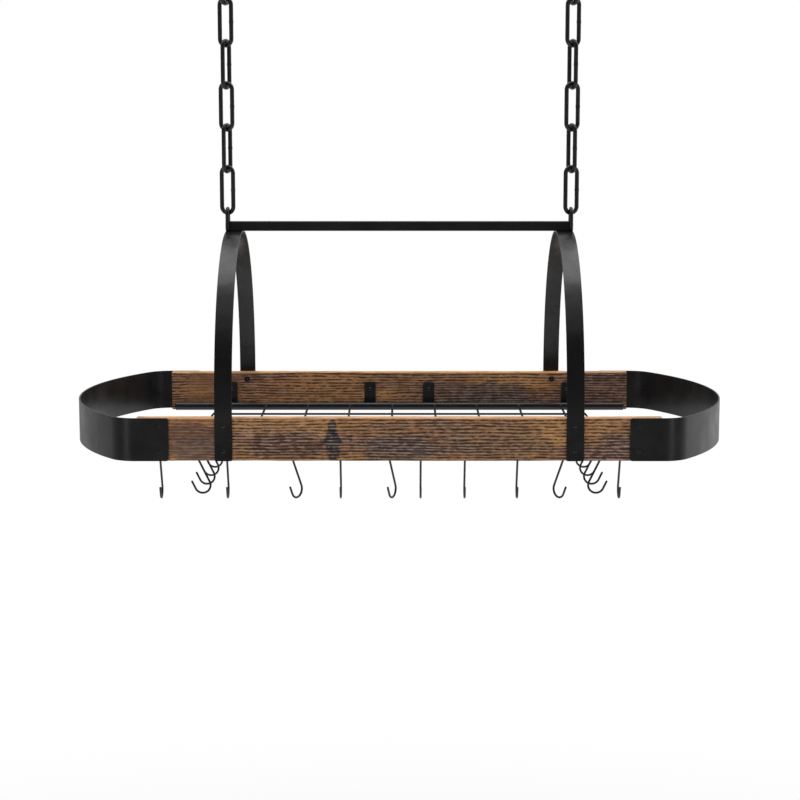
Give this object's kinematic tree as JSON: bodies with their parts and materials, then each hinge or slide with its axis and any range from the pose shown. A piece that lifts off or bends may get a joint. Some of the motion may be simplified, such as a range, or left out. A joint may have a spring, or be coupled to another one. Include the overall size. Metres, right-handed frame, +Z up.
{
  "type": "hanging pot rack",
  "caption": "Oval hanging pot rack of wooden boards and bent steel bands, carried by strap arches, a crossbar and chains on ceiling hooks, with a wire shelf and loose S-hooks.",
  "frame": {"origin": "on the ceiling plane, midway between the two screw hooks", "axes": "+X along the boards to the right, +Y to the rear board, +Z up into the ceiling"},
  "size_m": [0.85, 0.434, 0.7033],
  "materials": {
    "black_steel": "semi-gloss black powder coat",
    "chain_steel": "black coated wire",
    "hook_steel": "black coated steel",
    "s_hook_steel": "black coated wire",
    "wire_steel": "black coated wire",
    "fastener_steel": "black oxide, slightly glossy",
    "rustic_wood": "stained rustic wood, satin",
    "black_plastic": "matt moulded"
  },
  "bodies": {
    "ceiling_hooks": {"left_ceiling_hook": "hook_steel", "right_ceiling_hook": "hook_steel"},
    "left_top_link": {"left_link_1": "chain_steel"},
    "left_chain": {"left_link_2": "chain_steel", "left_link_3": "chain_steel", "left_link_4": "chain_steel"},
    "left_bottom_link": {"left_link_5": "chain_steel"},
    "right_top_link": {"right_link_1": "chain_steel"},
    "right_chain": {"right_link_2": "chain_steel", "right_link_3": "chain_steel", "right_link_4": "chain_steel"},
    "right_bottom_link": {"right_link_5": "chain_steel"},
    "rack": {"left_chain_eye": "black_steel", "right_chain_eye": "black_steel", "crossbar": "black_steel", "bar_plugs": "black_plastic", "bar_bolts": "fastener_steel", "bar_nuts": "fastener_steel", "left_arch": "black_steel", "right_arch": "black_steel", "left_end_band": "black_steel", "right_end_band": "black_steel", "front_board": "rustic_wood", "rear_board": "rustic_wood", "front_rail": "black_steel", "rear_rail": "black_steel", "left_cross_rail": "black_steel", "right_cross_rail": "black_steel", "long_wires": "wire_steel", "cross_wires": "wire_steel", "rail_tabs": "black_steel", "band_screws": "fastener_steel", "foot_screws": "fastener_steel", "foot_bolts": "fastener_steel", "foot_nuts": "fastener_steel", "tab_screws": "fastener_steel"},
    "front_hook_1": {"front_s_hook_1": "s_hook_steel"},
    "front_hook_2": {"front_s_hook_2": "s_hook_steel"},
    "front_hook_3": {"front_s_hook_3": "s_hook_steel"},
    "front_hook_4": {"front_s_hook_4": "s_hook_steel"},
    "front_hook_5": {"front_s_hook_5": "s_hook_steel"},
    "front_hook_6": {"front_s_hook_6": "s_hook_steel"},
    "front_hook_7": {"front_s_hook_7": "s_hook_steel"},
    "front_hook_8": {"front_s_hook_8": "s_hook_steel"},
    "front_hook_9": {"front_s_hook_9": "s_hook_steel"},
    "front_hook_10": {"front_s_hook_10": "s_hook_steel"},
    "left_hook_1": {"left_s_hook_1": "s_hook_steel"},
    "left_hook_2": {"left_s_hook_2": "s_hook_steel"},
    "left_hook_3": {"left_s_hook_3": "s_hook_steel"},
    "left_hook_4": {"left_s_hook_4": "s_hook_steel"},
    "left_hook_5": {"left_s_hook_5": "s_hook_steel"},
    "right_hook_1": {"right_s_hook_1": "s_hook_steel"},
    "right_hook_2": {"right_s_hook_2": "s_hook_steel"},
    "right_hook_3": {"right_s_hook_3": "s_hook_steel"},
    "right_hook_4": {"right_s_hook_4": "s_hook_steel"},
    "right_hook_5": {"right_s_hook_5": "s_hook_steel"}
  },
  "joints": [
    {"name": "front_back_swing", "type": "hinge", "parent": "ceiling_hooks", "child": "left_top_link", "pos_m": [-0.2265, 0, -0.03793], "axis": [1, 0, 0], "range_deg": [-30, 30]},
    {"name": "side_swing", "type": "hinge", "parent": "left_top_link", "child": "left_chain", "pos_m": [-0.2265, 0, -0.09243], "axis": [0, 1, 0], "range_deg": [-25, 25]},
    {"name": "left_bottom_link_pivot", "type": "hinge", "parent": "left_chain", "child": "left_bottom_link", "pos_m": [-0.2265, 0, -0.26183], "axis": [0, 1, 0], "range_deg": [-25, 25]},
    {"name": "rack_tilt", "type": "hinge", "parent": "left_bottom_link", "child": "rack", "pos_m": [-0.2265, 0, -0.31633], "axis": [1, 0, 0], "range_deg": [-20, 20]},
    {"name": "right_top_link_pivot", "type": "hinge", "parent": "ceiling_hooks", "child": "right_top_link", "pos_m": [0.2265, 0, -0.03793], "axis": [1, 0, 0], "range_deg": [-30, 30]},
    {"name": "right_chain_pivot", "type": "hinge", "parent": "right_top_link", "child": "right_chain", "pos_m": [0.2265, 0, -0.09243], "axis": [0, 1, 0], "range_deg": [-25, 25]},
    {"name": "right_bottom_link_pivot", "type": "hinge", "parent": "right_chain", "child": "right_bottom_link", "pos_m": [0.2265, 0, -0.26183], "axis": [0, 1, 0], "range_deg": [-25, 25]},
    {"name": "front_hook_1_swing", "type": "hinge", "parent": "rack", "child": "front_hook_1", "pos_m": [-0.299, -0.184, -0.60334], "axis": [1, 0, 0], "range_deg": [-25, 40]},
    {"name": "front_hook_2_swing", "type": "hinge", "parent": "rack", "child": "front_hook_2", "pos_m": [-0.2155, -0.184, -0.60334], "axis": [1, 0, 0], "range_deg": [-25, 40]},
    {"name": "front_hook_3_swing", "type": "hinge", "parent": "rack", "child": "front_hook_3", "pos_m": [-0.1288, -0.184, -0.60334], "axis": [1, 0, 0], "range_deg": [-25, 40]},
    {"name": "front_hook_4_swing", "type": "hinge", "parent": "rack", "child": "front_hook_4", "pos_m": [-0.0736, -0.184, -0.60334], "axis": [1, 0, 0], "range_deg": [-25, 40]},
    {"name": "front_hook_5_swing", "type": "hinge", "parent": "rack", "child": "front_hook_5", "pos_m": [-0.0088, -0.184, -0.60334], "axis": [1, 0, 0], "range_deg": [-25, 40]},
    {"name": "front_hook_6_swing", "type": "hinge", "parent": "rack", "child": "front_hook_6", "pos_m": [0.02672, -0.184, -0.60334], "axis": [1, 0, 0], "range_deg": [-25, 40]},
    {"name": "front_hook_7_swing", "type": "hinge", "parent": "rack", "child": "front_hook_7", "pos_m": [0.08198, -0.184, -0.60334], "axis": [1, 0, 0], "range_deg": [-25, 40]},
    {"name": "front_hook_8_swing", "type": "hinge", "parent": "rack", "child": "front_hook_8", "pos_m": [0.1478, -0.184, -0.60334], "axis": [1, 0, 0], "range_deg": [-25, 40]},
    {"name": "front_hook_9_swing", "type": "hinge", "parent": "rack", "child": "front_hook_9", "pos_m": [0.20048, -0.184, -0.60334], "axis": [1, 0, 0], "range_deg": [-25, 40]},
    {"name": "front_hook_10_swing", "type": "hinge", "parent": "rack", "child": "front_hook_10", "pos_m": [0.276, -0.184, -0.60334], "axis": [1, 0, 0], "range_deg": [-25, 40]},
    {"name": "left_hook_1_swing", "type": "hinge", "parent": "rack", "child": "left_hook_1", "pos_m": [-0.25, -0.155, -0.60334], "axis": [0, 1, 0], "range_deg": [-25, 25]},
    {"name": "left_hook_2_swing", "type": "hinge", "parent": "rack", "child": "left_hook_2", "pos_m": [-0.25, -0.095, -0.60334], "axis": [0, 1, 0], "range_deg": [-25, 25]},
    {"name": "left_hook_3_swing", "type": "hinge", "parent": "rack", "child": "left_hook_3", "pos_m": [-0.25, -0.035, -0.60334], "axis": [0, 1, 0], "range_deg": [-25, 25]},
    {"name": "left_hook_4_swing", "type": "hinge", "parent": "rack", "child": "left_hook_4", "pos_m": [-0.25, 0.025, -0.60334], "axis": [0, 1, 0], "range_deg": [-25, 25]},
    {"name": "left_hook_5_swing", "type": "hinge", "parent": "rack", "child": "left_hook_5", "pos_m": [-0.25, 0.085, -0.60334], "axis": [0, 1, 0], "range_deg": [-25, 25]},
    {"name": "right_hook_1_swing", "type": "hinge", "parent": "rack", "child": "right_hook_1", "pos_m": [0.25, -0.155, -0.60334], "axis": [0, 1, 0], "range_deg": [-25, 25]},
    {"name": "right_hook_2_swing", "type": "hinge", "parent": "rack", "child": "right_hook_2", "pos_m": [0.25, -0.095, -0.60334], "axis": [0, 1, 0], "range_deg": [-25, 25]},
    {"name": "right_hook_3_swing", "type": "hinge", "parent": "rack", "child": "right_hook_3", "pos_m": [0.25, -0.035, -0.60334], "axis": [0, 1, 0], "range_deg": [-25, 25]},
    {"name": "right_hook_4_swing", "type": "hinge", "parent": "rack", "child": "right_hook_4", "pos_m": [0.25, 0.025, -0.60334], "axis": [0, 1, 0], "range_deg": [-25, 25]},
    {"name": "right_hook_5_swing", "type": "hinge", "parent": "rack", "child": "right_hook_5", "pos_m": [0.25, 0.085, -0.60334], "axis": [0, 1, 0], "range_deg": [-25, 25]}
  ],
  "couplings": [
    {"joint": "left_bottom_link_pivot", "follows": "side_swing", "ratio": -1},
    {"joint": "right_top_link_pivot", "follows": "front_back_swing", "ratio": 1},
    {"joint": "right_chain_pivot", "follows": "side_swing", "ratio": 1},
    {"joint": "right_bottom_link_pivot", "follows": "side_swing", "ratio": -1}
  ]
}
